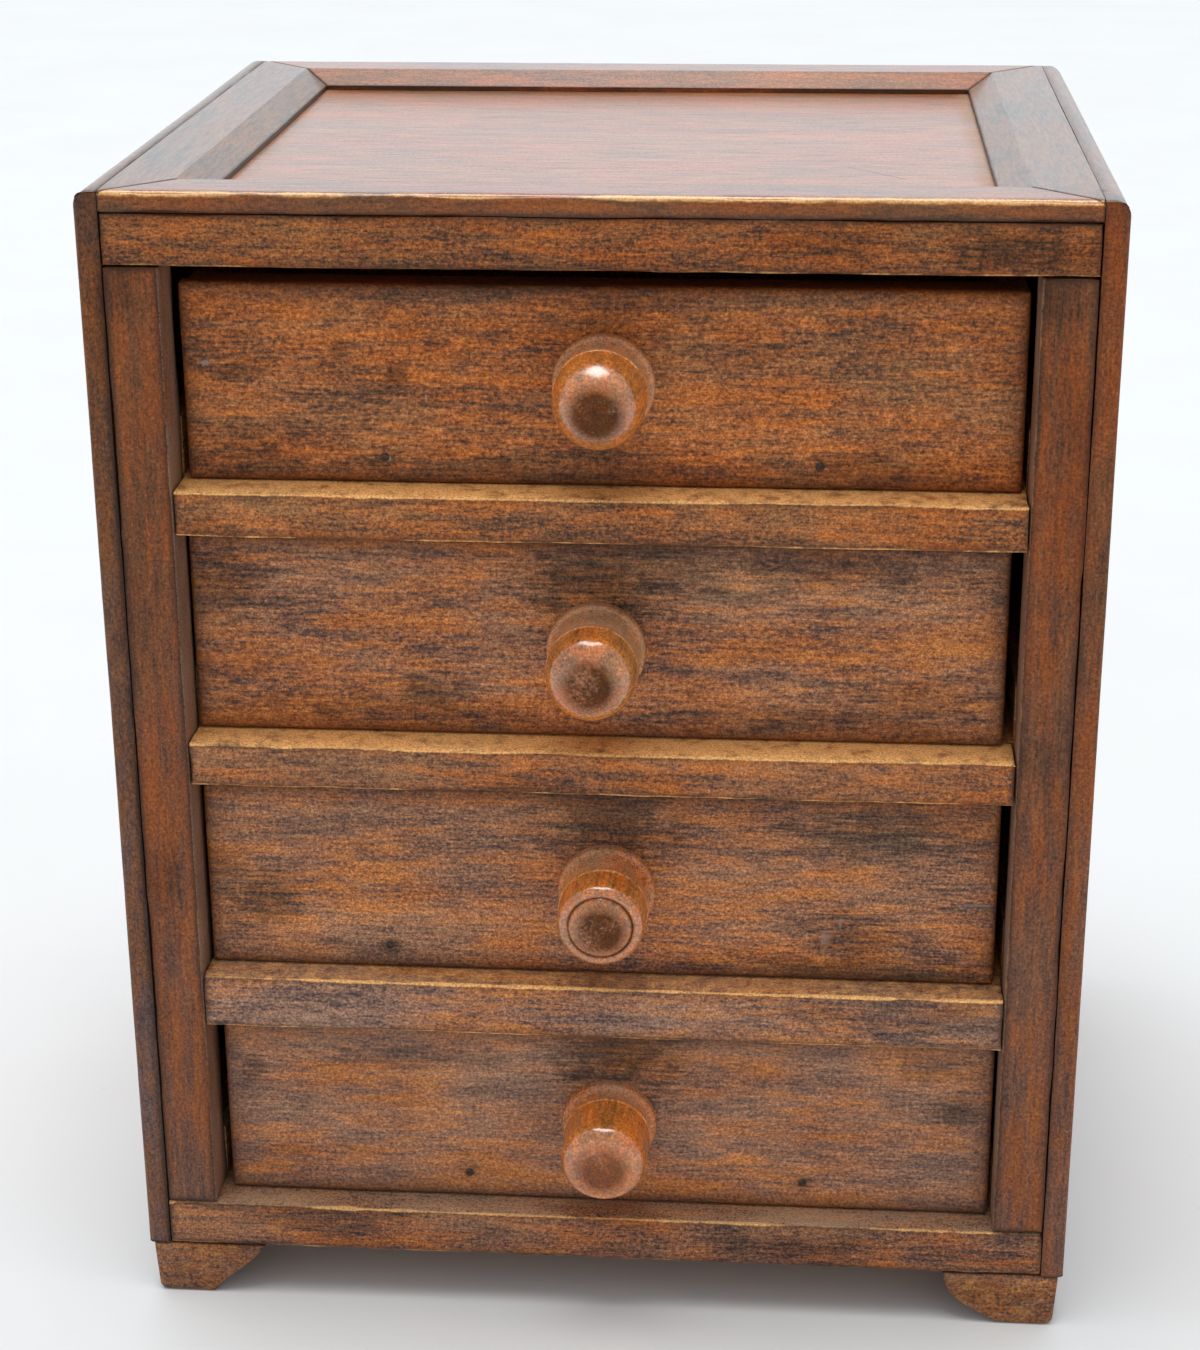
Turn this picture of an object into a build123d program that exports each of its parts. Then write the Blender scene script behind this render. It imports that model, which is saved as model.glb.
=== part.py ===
"""A small tabletop chest of four drawers in stained hardwood.

The top and both sides are mitred frames with a bevelled inner edge, laid over thin boards.
The front is a frame of two rails, two stiles and three dividers, all flush with the side edges.
Four inset drawers with turned knobs ride on runners behind the dividers.
X runs to the right, Y to the back and Z up, in millimetres, with the feet on Z = 0.
"""
import os

from math import hypot

from build123d import *

# Carcass
chest_width = 200.0
chest_depth = 168.0
side_thickness = 5.0
top_frame_thickness = 4.3
panel_thickness = 3.0
back_thickness = 5.0
bottom_thickness = 4.0

# Mitred frames of the top and the sides
frame_rail_width = 18.3
bevel_run = 5.8
lip_thickness = 1.0
side_edge_radius = 2.2
back_corner_radius = 3.6
top_edge_radius = 0.9

# Front frame, with the openings and dividers listed from the top down
face_thickness = 12.0
stile_width = 10.9
top_rail_height = 10.5
bottom_rail_height = 10.7
opening_height = 43.5
opening_extras = (1.2, 0.6, 0.0, 0.0)
divider_height = 9.7
divider_extras = (0.0, 0.0, 2.4)
worn_edge_radius = 0.7

# Runners, an L section with a ledge under the drawer and a fence beside it
runner_thickness = 6.0
runner_bearing = 6.0
fence_height = 12.0

# Feet
foot_height = 12.2
foot_inset = 1.0
foot_width = 25.0
foot_sole_width = 13.0
foot_depth = 25.0
foot_corner_radius = 1.6
foot_curve_share = 0.16

# Drawers, listed from the top down
drawer_side_gap = 1.35
drawer_shift_shares = (0.2, -0.65, -0.4, 0.55)
drawer_top_gaps = (4.4, 1.6, 1.6, 1.6)
drawer_setbacks = (8.0, 8.4, 6.5, 6.5)
drawer_back_gap = 0.3
drawer_front_thickness = 8.0
drawer_front_radius = 1.3
drawer_lap = 3.0
drawer_side_thickness = 4.5
drawer_side_drop = 1.5
drawer_back_thickness = 4.5
drawer_bottom_thickness = 3.0
groove_lift = 3.5
groove_depth = 2.2
groove_clearance = 0.1

# Turned knobs, listed from the top down
knob_reaches = (21.7, 20.8, 19.6, 20.2)
knob_ridge_shares = (0.44, 0.56, 0.52, 0.32)
knob_shoulder_lengths = (1.0, 2.4, 1.5, 2.2)
knob_dome_shares = (1.0, 0.68, 0.79, 0.72)
knob_dome_heights = (6.4, 1.2, 1.2, 1.1)
knob_across_shares = (0.505, 0.501, 0.511, 0.505)
knob_height_shares = (0.52, 0.455, 0.475, 0.48)
knob_collar_radius = 10.2
knob_collar_thickness = 2.4
knob_collar_bevel = 1.0
knob_neck_radius = 8.8
knob_barrel_radius = 9.4
tenon_side = 7.0
tenon_clearance = 0.1

overrun = 1.0

# Places that follow from the sizes
knob_proud = max(reach - setback for reach, setback in zip(knob_reaches, drawer_setbacks))
front_y = (knob_proud - chest_depth) / 2
back_y = front_y + chest_depth
face_back_y = front_y + face_thickness
inside_back_y = back_y - back_thickness
middle_y = (front_y + back_y) / 2

inner_x = chest_width / 2 - side_thickness
board_x = inner_x - panel_thickness
opening_x = inner_x - stile_width
ledge_x = opening_x - runner_bearing

opening_heights = [opening_height + extra for extra in opening_extras]
divider_heights = [divider_height + extra for extra in divider_extras]
floor_z = foot_height + bottom_rail_height
bottoms_z = [floor_z]
for opening, divider in zip(opening_heights[:0:-1], divider_heights[::-1]):
    bottoms_z.insert(0, bottoms_z[0] + opening + divider)
rail_z = bottoms_z[0] + opening_heights[0]
under_top_z = rail_z + top_rail_height
chest_height = under_top_z + top_frame_thickness
drawer_count = len(opening_heights)

os.makedirs("parts", exist_ok=True)


def save(piece, name):
    """Labels a finished piece and writes it as its own file."""
    piece.part.label = name
    export_step(piece.part, f"parts/{name}.step")


def board(x, y, z):
    """A plain board between a low and a high place along each axis."""
    with BuildPart() as piece:
        with BuildSketch(Plane.XY.offset(z[0])):
            with Locations(((x[0] + x[1]) / 2, (y[0] + y[1]) / 2)):
                Rectangle(x[1] - x[0], y[1] - y[0])
        extrude(amount=z[1] - z[0])
    return piece


def mitred_frame(plane, width, height, thickness, radii):
    """Four rails mitred at the corners: low, high, left and right as seen on the plane.

    The inner edge is bevelled down to a thin lip. The outer edges are worn round by the
    radii given for them in the same order, where zero leaves an edge square.
    """
    across = Axis(plane.origin, plane.x_dir)
    upright = Axis(plane.origin, plane.y_dir)
    outward = Axis(plane.origin, plane.z_dir)
    with BuildPart() as ring:
        with BuildSketch(plane):
            Rectangle(width, height)
            Rectangle(width - 2 * frame_rail_width, height - 2 * frame_rail_width, mode=Mode.SUBTRACT)
        extrude(amount=thickness)
        show = ring.faces().sort_by(outward)[-1]
        bevel_drop = thickness - lip_thickness
        chamfer(show.inner_wires()[0].edges(), length=bevel_run, length2=bevel_drop, reference=show)
        sides = ((upright, 0), (upright, -1), (across, 0), (across, -1))
        for (axis, end), radius in zip(sides, radii):
            if radius:
                show = ring.faces().sort_by(outward)[-1]
                fillet(show.outer_wire().edges().sort_by(axis)[end], radius)
    x = width / 2
    y = height / 2
    cut = frame_rail_width + overrun
    outlines = (
        ((-x, -y), (x, -y), (x - cut, cut - y), (cut - x, cut - y)),
        ((x, y), (-x, y), (cut - x, y - cut), (x - cut, y - cut)),
        ((-x, y), (-x, -y), (cut - x, cut - y), (cut - x, y - cut)),
        ((x, -y), (x, y), (x - cut, y - cut), (x - cut, cut - y)),
    )
    rails = []
    for outline in outlines:
        with BuildPart() as rail:
            add(ring.part)
            with BuildSketch(plane):
                Polygon(*outline, align=None)
            extrude(amount=thickness, mode=Mode.INTERSECT)
        rails.append(rail)
    return rails


# Top: a mitred frame between the side frames, over a thin board
top_plane = Plane(origin=(0, middle_y, under_top_z), x_dir=(1, 0, 0), z_dir=(0, 0, 1))
top_radii = (top_edge_radius, top_edge_radius, 0, 0)
top_rails = mitred_frame(top_plane, 2 * inner_x, chest_depth, top_frame_thickness, top_radii)
for rail, place in zip(top_rails, ("front", "back", "left", "right")):
    save(rail, f"top_frame_{place}")
top_board_z = under_top_z - panel_thickness
save(
    board((-inner_x, inner_x), (face_back_y, inside_back_y), (top_board_z, under_top_z)),
    "top_panel",
)

# Sides: a mitred frame on the outside of each side board
side_middle_z = (foot_height + chest_height) / 2
upright_radii = {"front": side_edge_radius, "back": back_corner_radius}
for side, name, order in ((-1, "left", ("back", "front")), (1, "right", ("front", "back"))):
    side_plane = Plane(
        origin=(side * inner_x, middle_y, side_middle_z), x_dir=(0, side, 0), z_dir=(side, 0, 0)
    )
    side_radii = [0, side_edge_radius, *(upright_radii[place] for place in order)]
    side_height = chest_height - foot_height
    side_rails = mitred_frame(side_plane, chest_depth, side_height, side_thickness, side_radii)
    for rail, place in zip(side_rails, ("bottom", "top", *order)):
        save(rail, f"{name}_frame_{place}")
    side_x = sorted((side * inner_x, side * board_x))
    save(board(side_x, (face_back_y, inside_back_y), (foot_height, top_board_z)), f"{name}_panel")

# Back and bottom boards
save(board((-inner_x, inner_x), (inside_back_y, back_y), (foot_height, under_top_z)), "back_panel")
bottom_top_z = foot_height + bottom_thickness
save(
    board((-board_x, board_x), (face_back_y, inside_back_y), (foot_height, bottom_top_z)),
    "bottom_board",
)

# Front frame: rails across the whole front, stiles between them, dividers between the stiles
face_y = (front_y, face_back_y)


def front_edges(piece):
    """The edges round the front face of a piece."""
    return piece.faces().sort_by(Axis.Y)[0].edges()


top_rail_blank = board((-inner_x, inner_x), face_y, (rail_z, under_top_z))
with BuildPart() as top_rail:
    add(top_rail_blank.part)
    fillet(front_edges(top_rail).sort_by(Axis.Z)[0], worn_edge_radius)
save(top_rail, "front_top_rail")

bottom_rail_blank = board((-inner_x, inner_x), face_y, (foot_height, floor_z))
with BuildPart() as bottom_rail:
    add(bottom_rail_blank.part)
    fillet(front_edges(bottom_rail).filter_by(Axis.X), worn_edge_radius)
save(bottom_rail, "front_bottom_rail")

for side, name in ((-1, "left"), (1, "right")):
    stile_x = sorted((side * opening_x, side * inner_x))
    stile_blank = board(stile_x, face_y, (floor_z, rail_z))
    with BuildPart() as stile:
        add(stile_blank.part)
        inner_edge = front_edges(stile).sort_by(lambda edge: abs(edge.center().X))[0]
        fillet(inner_edge, worn_edge_radius)
    save(stile, f"front_stile_{name}")

for index, height in enumerate(divider_heights):
    top = bottoms_z[index]
    divider_blank = board((-opening_x, opening_x), face_y, (top - height, top))
    with BuildPart() as divider:
        add(divider_blank.part)
        fillet(front_edges(divider).filter_by(Axis.X), worn_edge_radius)
    save(divider, f"divider_{index + 1}")

# Runners: a ledge level with the divider, and a fence level with the stile's inner edge
ledges = (runner_thickness,) * len(divider_heights) + (bottom_rail_height - bottom_thickness,)
for index, (top, ledge) in enumerate(zip(bottoms_z, ledges)):
    with BuildPart() as runners:
        with BuildSketch(Plane.XZ.offset(-face_back_y)):
            for side in (-1, 1):
                with BuildLine():
                    Polyline(
                        (side * board_x, top - ledge),
                        (side * ledge_x, top - ledge),
                        (side * ledge_x, top),
                        (side * opening_x, top),
                        (side * opening_x, top + fence_height),
                        (side * board_x, top + fence_height),
                        close=True,
                    )
                make_face()
        extrude(amount=face_back_y - inside_back_y)
    save(runners, f"runners_{index + 1}")

# Feet: a block under each corner, cut away to an ogee on the inner side
foot_bow = hypot(foot_width - foot_sole_width, foot_height) / 2 * foot_curve_share
for side, side_name in ((-1, "left"), (1, "right")):
    outer_x = side * (chest_width / 2 - foot_inset)
    sole_x = outer_x - side * foot_sole_width
    wide_x = outer_x - side * foot_width
    turn = ((sole_x + wide_x) / 2, foot_height / 2)
    for name, foot_y in (("front", front_y), ("back", back_y - foot_depth)):
        with BuildPart() as foot:
            with BuildSketch(Plane.XZ.offset(-foot_y)):
                with BuildLine():
                    Polyline((wide_x, foot_height), (outer_x, foot_height), (outer_x, 0), (sole_x, 0))
                    SagittaArc((sole_x, 0), turn, -side * foot_bow)
                    SagittaArc(turn, (wide_x, foot_height), side * foot_bow)
                make_face()
            extrude(amount=-foot_depth)
            outside = foot.faces().filter_by(Axis.X)[0]
            fillet(outside.edges().sort_by(Axis.Z)[0], foot_corner_radius)
        save(foot, f"foot_{name}_{side_name}")

# Drawers: each a lapped box with its bottom in grooves and a turned knob
drawer_width = 2 * (opening_x - drawer_side_gap)
for index in range(drawer_count):
    name = f"drawer_{index + 1}"
    middle_x = drawer_side_gap * drawer_shift_shares[index]
    left_x = middle_x - drawer_width / 2
    right_x = middle_x + drawer_width / 2
    low_z = bottoms_z[index]
    front_height = opening_heights[index] - drawer_top_gaps[index]
    high_z = low_z + front_height
    side_high_z = high_z - drawer_side_drop
    show_y = front_y + drawer_setbacks[index]
    behind_y = show_y + drawer_front_thickness
    end_y = inside_back_y - drawer_back_gap
    groove_z = low_z + groove_lift
    groove_height = drawer_bottom_thickness + groove_clearance
    inside_left_x = left_x + drawer_side_thickness
    inside_right_x = right_x - drawer_side_thickness
    knob_x = left_x + drawer_width * knob_across_shares[index]
    knob_z = low_z + front_height * knob_height_shares[index]

    knob_seat = Plane(origin=(knob_x, show_y, knob_z), x_dir=(1, 0, 0), z_dir=(0, 1, 0))

    # The front, rabbeted at both ends for the sides, grooved for the bottom, mortised for the knob
    lap_y = show_y + drawer_lap
    rabbet_y = (lap_y, behind_y + overrun)
    rabbet_z = (low_z - overrun, high_z + overrun)
    groove_y = (behind_y - groove_depth, behind_y + overrun)
    front_blank = board((left_x, right_x), (show_y, behind_y), (low_z, high_z))
    front_cuts = (
        board((left_x - overrun, inside_left_x), rabbet_y, rabbet_z),
        board((inside_right_x, right_x + overrun), rabbet_y, rabbet_z),
        board((left_x, right_x), groove_y, (groove_z, groove_z + groove_height)),
    )
    with BuildPart() as front:
        add(front_blank.part)
        fillet(front_edges(front), drawer_front_radius)
        for cut in front_cuts:
            add(cut.part, mode=Mode.SUBTRACT)
        mortise_side = tenon_side + 2 * tenon_clearance
        with BuildSketch(knob_seat):
            Rectangle(mortise_side, mortise_side)
        extrude(amount=drawer_front_thickness, mode=Mode.SUBTRACT)
    save(front, f"{name}_front")

    # The sides, grooved on the inside for the bottom
    for side_name, side_x, groove_x in (
        ("left", (left_x, inside_left_x), (inside_left_x - groove_depth, inside_left_x + overrun)),
        ("right", (inside_right_x, right_x), (inside_right_x - overrun, inside_right_x + groove_depth)),
    ):
        side_blank = board(side_x, (lap_y, end_y), (low_z, side_high_z))
        groove_y = (behind_y - groove_depth, end_y + overrun)
        side_groove = board(groove_x, groove_y, (groove_z, groove_z + groove_height))
        with BuildPart() as drawer_side:
            add(side_blank.part)
            add(side_groove.part, mode=Mode.SUBTRACT)
        save(drawer_side, f"{name}_{side_name}_side")

    # The bottom slides into the grooves from behind, and the back stands on it
    tongue = groove_depth - groove_clearance
    bottom_x = (inside_left_x - tongue, inside_right_x + tongue)
    panel_top_z = groove_z + drawer_bottom_thickness
    save(board(bottom_x, (behind_y - tongue, end_y), (groove_z, panel_top_z)), f"{name}_bottom")
    back_piece_y = (end_y - drawer_back_thickness, end_y)
    save(board((inside_left_x, inside_right_x), back_piece_y, (panel_top_z, side_high_z)), f"{name}_back")

    # The knob, turned from a square blank: a head with a domed end, a neck and a collar.
    # The dome is a ball that cuts the head's coned shoulder, and the blank's square end is the tenon.
    reach = knob_reaches[index]
    ridge = reach * knob_ridge_shares[index]
    shoulder = knob_shoulder_lengths[index]
    dome_radius = knob_barrel_radius * knob_dome_shares[index]
    dome_height = knob_dome_heights[index]
    shoulder_slope = (knob_barrel_radius - dome_radius) / shoulder
    ball_radius = (dome_radius**2 + dome_height**2) / (2 * dome_height)
    turning = Plane(origin=(knob_x, show_y, knob_z), x_dir=(1, 0, 0), z_dir=(0, 0, -1))
    turning_axis = Axis((knob_x, show_y, knob_z), (0, -1, 0))
    with BuildPart() as knob:
        with BuildSketch(turning):
            with BuildLine():
                Polyline(
                    (0, ridge),
                    (knob_barrel_radius, ridge),
                    (knob_barrel_radius, reach - dome_height - shoulder),
                    (dome_radius - shoulder_slope * (dome_height + overrun), reach + overrun),
                    (0, reach + overrun),
                    close=True,
                )
            make_face()
        revolve(axis=turning_axis)
        with Locations((knob_x, show_y - reach + ball_radius, knob_z)):
            Sphere(ball_radius, mode=Mode.INTERSECT)
        with BuildSketch(turning):
            with BuildLine():
                Polyline(
                    (0, 0),
                    (knob_collar_radius, 0),
                    (knob_collar_radius, knob_collar_thickness - knob_collar_bevel),
                    (knob_neck_radius, knob_collar_thickness),
                    (knob_neck_radius, ridge),
                    (0, ridge),
                    close=True,
                )
            make_face()
        revolve(axis=turning_axis)
        with BuildSketch(knob_seat):
            Rectangle(tenon_side, tenon_side)
        extrude(amount=drawer_front_thickness)
    save(knob, f"{name}_knob")

print("height", round(chest_height, 2), "front face at y", round(front_y, 2))
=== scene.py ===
# %% [markdown]
# # An old tabletop chest of four drawers
# The chest is a small handmade box in stained hardwood: a framed top, four inset drawers with turned knobs, and
# bracket feet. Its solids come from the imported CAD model, which is the fixed frame here. This script gives that frame
# its looks: boards with worn edges, old stain, dust and nails. Everything is in metres, at the place the CAD gives it.

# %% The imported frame
import math

import bpy
import numpy as np
from mathutils import Matrix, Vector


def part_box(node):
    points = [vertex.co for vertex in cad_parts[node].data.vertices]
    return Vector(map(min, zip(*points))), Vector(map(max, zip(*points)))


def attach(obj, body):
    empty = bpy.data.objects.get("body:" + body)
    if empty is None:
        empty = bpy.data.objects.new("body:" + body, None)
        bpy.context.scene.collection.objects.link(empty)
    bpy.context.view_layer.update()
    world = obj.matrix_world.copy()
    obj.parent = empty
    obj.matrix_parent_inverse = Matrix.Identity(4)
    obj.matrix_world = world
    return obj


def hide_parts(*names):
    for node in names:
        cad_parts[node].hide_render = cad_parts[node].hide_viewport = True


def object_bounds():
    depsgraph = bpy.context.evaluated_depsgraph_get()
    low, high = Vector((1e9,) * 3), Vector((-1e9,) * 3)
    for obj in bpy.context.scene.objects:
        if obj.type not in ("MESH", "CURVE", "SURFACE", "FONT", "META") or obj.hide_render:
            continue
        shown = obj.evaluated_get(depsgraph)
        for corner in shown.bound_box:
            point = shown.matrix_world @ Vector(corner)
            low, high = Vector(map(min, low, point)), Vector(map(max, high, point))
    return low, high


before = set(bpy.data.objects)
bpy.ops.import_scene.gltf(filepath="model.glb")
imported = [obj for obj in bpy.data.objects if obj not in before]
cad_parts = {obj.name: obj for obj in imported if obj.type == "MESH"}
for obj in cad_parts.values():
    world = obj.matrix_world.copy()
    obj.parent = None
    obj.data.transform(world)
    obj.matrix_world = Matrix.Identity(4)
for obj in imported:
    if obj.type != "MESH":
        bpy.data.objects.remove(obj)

cad_low, cad_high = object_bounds()
mm = 0.001

# %% [markdown]
# ## The camera
# The photograph was taken by hand from about half a metre, a little above the chest and slightly to its right. A
# pinhole camera fitted to the straight edges of the chest gives the place, the three angles and the focal length in
# pixels. Blender wants that length in millimetres on a 36 mm sensor, so it is scaled by the picture's long side.

# %% Camera
photo_width = 1200
photo_height = 1350
focal_pixels = 2726.66
camera_place = (0.04192, -0.58467, 0.34405)
yaw = Matrix.Rotation(math.radians(4.6514), 4, "Z")
pitch = Matrix.Rotation(math.radians(-20.9873), 4, "X")
roll = Matrix.Rotation(math.radians(0.3374), 4, "Y")

lens = bpy.data.cameras.new("photo_camera")
lens.sensor_width = 36
lens.lens = focal_pixels * lens.sensor_width / max(photo_width, photo_height)
camera = bpy.data.objects.new("photo_camera", lens)
bpy.context.scene.collection.objects.link(camera)
bpy.context.scene.camera = camera
level_view = Matrix.Rotation(math.pi / 2, 4, "X")
turn = yaw @ pitch @ roll
camera.matrix_world = Matrix.Translation(camera_place) @ turn @ level_view
print("camera: lens", round(lens.lens, 2), "mm")

# %% [markdown]
# ## Shader sums in plain Python
# A material is a graph of nodes, and arithmetic on it is quicker to read as a formula. The small class below wraps one
# output of a node, so that a + b or 1 - mask adds a Math node to the graph.

# %% Values
class Value:
    """One number that varies over a surface: +, - and * add a Math node to its finish."""

    def __init__(self, finish, socket):
        self.finish = finish
        self.socket = socket

    def sum(self, operation, first, second):
        return self.finish.node("ShaderNodeMath", {"operation": operation}, {0: first, 1: second})

    def __add__(self, other):
        return self.sum("ADD", self, other)

    def __radd__(self, other):
        return self.sum("ADD", other, self)

    def __sub__(self, other):
        return self.sum("SUBTRACT", self, other)

    def __rsub__(self, other):
        return self.sum("SUBTRACT", other, self)

    def __mul__(self, other):
        return self.sum("MULTIPLY", self, other)

    def __rmul__(self, other):
        return self.sum("MULTIPLY", other, self)

    def most(self, other):
        return self.sum("MAXIMUM", self, other)


print("a value takes +, -, * and most")

# %% [markdown]
# ## Finishes
# Every node that isn't a sum comes from one method, `node`, which sets what the node does first and then fills or links
# its sockets. The other methods are short names for the few kinds of node that this chest needs.

# %% Finishes
class Finish:
    """A material, or the sky, under construction."""

    def __init__(self, owner, shader="Principled BSDF"):
        self.owner = owner
        self.owner.use_nodes = True
        self.tree = self.owner.node_tree
        self.shader = self.tree.nodes[shader]

    def node(self, kind, settings=None, sockets=None, out=0):
        """Adds a node: its settings first, then a value or a link for each named socket."""
        made = self.tree.nodes.new(kind)
        for setting, choice in (settings or {}).items():
            if setting == "stops":
                ramp = made.color_ramp.elements
                while len(ramp) < len(choice):
                    ramp.new(1)
                for element, (position, colour) in zip(ramp, choice):
                    element.position = position
                    element.color = colour
            else:
                setattr(made, setting, choice)
        for socket, given in (sockets or {}).items():
            self.feed(made.inputs[socket], given)
        return Value(self, made.outputs[out])

    def feed(self, socket, given):
        """Links a Value to a socket, or sets a plain number, colour or vector on it."""
        if isinstance(given, Value):
            self.tree.links.new(given.socket, socket)
        else:
            socket.default_value = given

    def set(self, **sockets):
        """Feeds the shader's own sockets, with _ for a space in a socket's name."""
        for socket, given in sockets.items():
            self.feed(self.shader.inputs[socket.replace("_", " ")], given)

    def vector(self, operation, first, second, out=0):
        return self.node("ShaderNodeVectorMath", {"operation": operation}, {0: first, 1: second}, out)

    def dot(self, first, second):
        return self.vector("DOT_PRODUCT", first, second, "Value")

    def away(self, place, centre, half_sizes):
        """The distance of a place from a centre, measured in half sizes."""
        offset = self.vector("DIVIDE", self.vector("SUBTRACT", place, centre), half_sizes)
        return self.vector("DISTANCE", offset, (0, 0, 0), "Value")

    def fade(self, value, start, end):
        """A smooth step from 0 where the value is at start to 1 where it is at end."""
        sockets = {"Value": value, "From Min": start, "From Max": end}
        return self.node("ShaderNodeMapRange", {"interpolation_type": "SMOOTHSTEP"}, sockets)

    def mix(self, share, first, second, how="MIX"):
        """Two colours mixed by a share from 0, all first, to 1, all second."""
        return self.node("ShaderNodeMix", {"data_type": "RGBA", "blend_type": how}, {0: share, 6: first, 7: second}, 2)

    def mark(self, name):
        """A number that the piece's own mesh carries at each vertex."""
        return self.node("ShaderNodeAttribute", {"attribute_name": name}, out="Fac")

    def noise(self, place, waves, detail, roughness=0.55, distortion=0.0):
        """Noise from 0 to 1, with that many waves to the metre along each axis."""
        scaled = self.vector("MULTIPLY", place, waves)
        sockets = {"Vector": scaled, "Scale": 1, "Detail": detail, "Roughness": roughness, "Distortion": distortion}
        return self.node("ShaderNodeTexNoise", None, sockets)


def screen(red, green, blue):
    """A colour as a screen shows it, 0 to 255, turned into the linear light that a shader works in."""
    share = np.array((red, green, blue)) / 255
    linear = np.where(share > 0.04045, ((share + 0.055) / 1.055) ** 2.4, share / 12.92)
    return (*linear.tolist(), 1.0)


print("screen grey 128 is", round(screen(128, 128, 128)[0], 3), "in linear light")

# %% [markdown]
# ## The grain
# The wood has fine dark pores that run with the grain, streaks, and broad bands from the year rings. Each of them is a
# noise with few waves along the grain and many across it. Only the speckle and the flecks are alike in all directions.
# What the layers do together is a weighted sum, listed here by its use.

# %% Noises of the grain
grain_noises = {
    "streak": (150, 1500, 3, 0.6),
    "grit": (1200, 1700, 2, 0.6),
    "pore": (700, 4200, 2),
    "figure": (60, 420, 3, 0.6),
    "band": (14, 130, 3, 0.5, 0.5),
    "patch": (40, 75, 4, 0.6),
    "warm": (26, 80, 3),
    "speckle": (2300, 2300, 2),
    "fleck": (300, 300, 4, 0.6),
}
grain_weights = {
    "tone": {"streak": 0.62, "grit": 0.85, "figure": 0.4, "band": 0.36, "patch": 0.3},
    "fine": {"pore": 0.8, "speckle": 2.3},
    "hue": {"warm": 0.4, "figure": 0.4, "streak": 0.2},
    "damp": {"patch": 1.0, "streak": 0.5, "fleck": 0.4},
    "spot": {"fleck": 1.8, "streak": 1.2, "figure": 1.0},
    "crack": {"fleck": 3.0},
    "grime": {"patch": 1.0, "streak": 0.6},
    "scuff": {"speckle": 2.4, "fleck": 1.2},
    "dust": {"speckle": 1.0, "patch": 0.8},
    "height": {"streak": 0.5, "pore": 0.35, "speckle": 0.3},
}


def wood_noises(wood, place, grain):
    """Each layer's noise, from (waves along the grain, waves across it, octaves, roughness, distortion)."""
    layers = {}
    for layer, (along, across, *fractal) in grain_noises.items():
        waves = tuple(along if axis == grain else across for axis in "xyz")
        layers[layer] = wood.noise(place, waves, *fractal)
    return layers


def swing(layers, use):
    """The weighted sum of layers for one use, each measured from its middle, so that it is about 0."""
    return sum(weight * (layers[layer] - 0.5) for layer, weight in grain_weights[use].items())


print("grain:", len(grain_noises), "noises with", len(grain_weights), "uses")

# %% [markdown]
# ## Damp, stain and dust
# Black blotches show where damp got under the stain; one spot made the same way is a painted shadow under the first
# knob. They multiply the colour, so that the grain shows through them. Under them the tone picks a colour on a ramp,
# the finest noise only darkens it, and the middle ones also turn its hue from orange to grey-brown. Each board's mesh
# carries marks that steer the rest: `board` moves the pattern so that no two boards match, `rubbed` is high on worn
# edges and also paints light on the tops of the dividers, the grime mark is high near dirty ones and where shade or a
# dark reflection is painted, `dusty` on ledges, and `faded` where the stain has greyed.

# %% Wood colours
ramp_places = {"pore": 0.16, "dark": 0.33, "middle": 0.48, "light": 0.74}
orange = (1.15, 0.88, 0.42, 1.0)
grey_brown = (0.74, 0.94, 1.14, 1.0)
faded_tint = (1.03, 1.42, 2.80, 1.0)
smoke_black = (0.29, 0.31, 0.32, 1.0)
hue_strength = 0.9
patch_strength = 0.32
spot_strength = 0.85
grime_and_shade_strength = 0.85
rub_strength = 0.84
speckle_strength = 0.3
dust_strength = 0.75


def blots(wood, place, layers, spots, cracks, blotting):
    """Damp from 0 to 1: patches of noise, the listed spots and the listed cracks, whichever is strongest.

    A spot is (centre, half sizes, strength), and its edge is its distance in half sizes, roughened by noise; the spot
    under the first knob paints its shadow. A crack is (middle, along, across), with vectors already divided by its half
    length and half width.
    """
    damp = wood.fade(0.5 + swing(layers, "damp"), 0.58, 0.86) * (patch_strength * blotting)
    ragged = swing(layers, "spot")
    for centre, half_sizes, strength in spots:
        edge = wood.away(place, centre, half_sizes) + ragged
        damp = damp.most(wood.fade(edge, 1.45, 0.15) * (spot_strength * strength))
    for middle, along, across in cracks:
        offset = wood.vector("SUBTRACT", place, middle)
        aside = wood.dot(offset, across) + swing(layers, "crack")
        ahead = wood.dot(offset, along)
        damp = damp.most(wood.fade(aside * aside, 1.0, 0.2) * wood.fade(ahead * ahead, 1.0, 0.6))
    return damp


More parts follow.
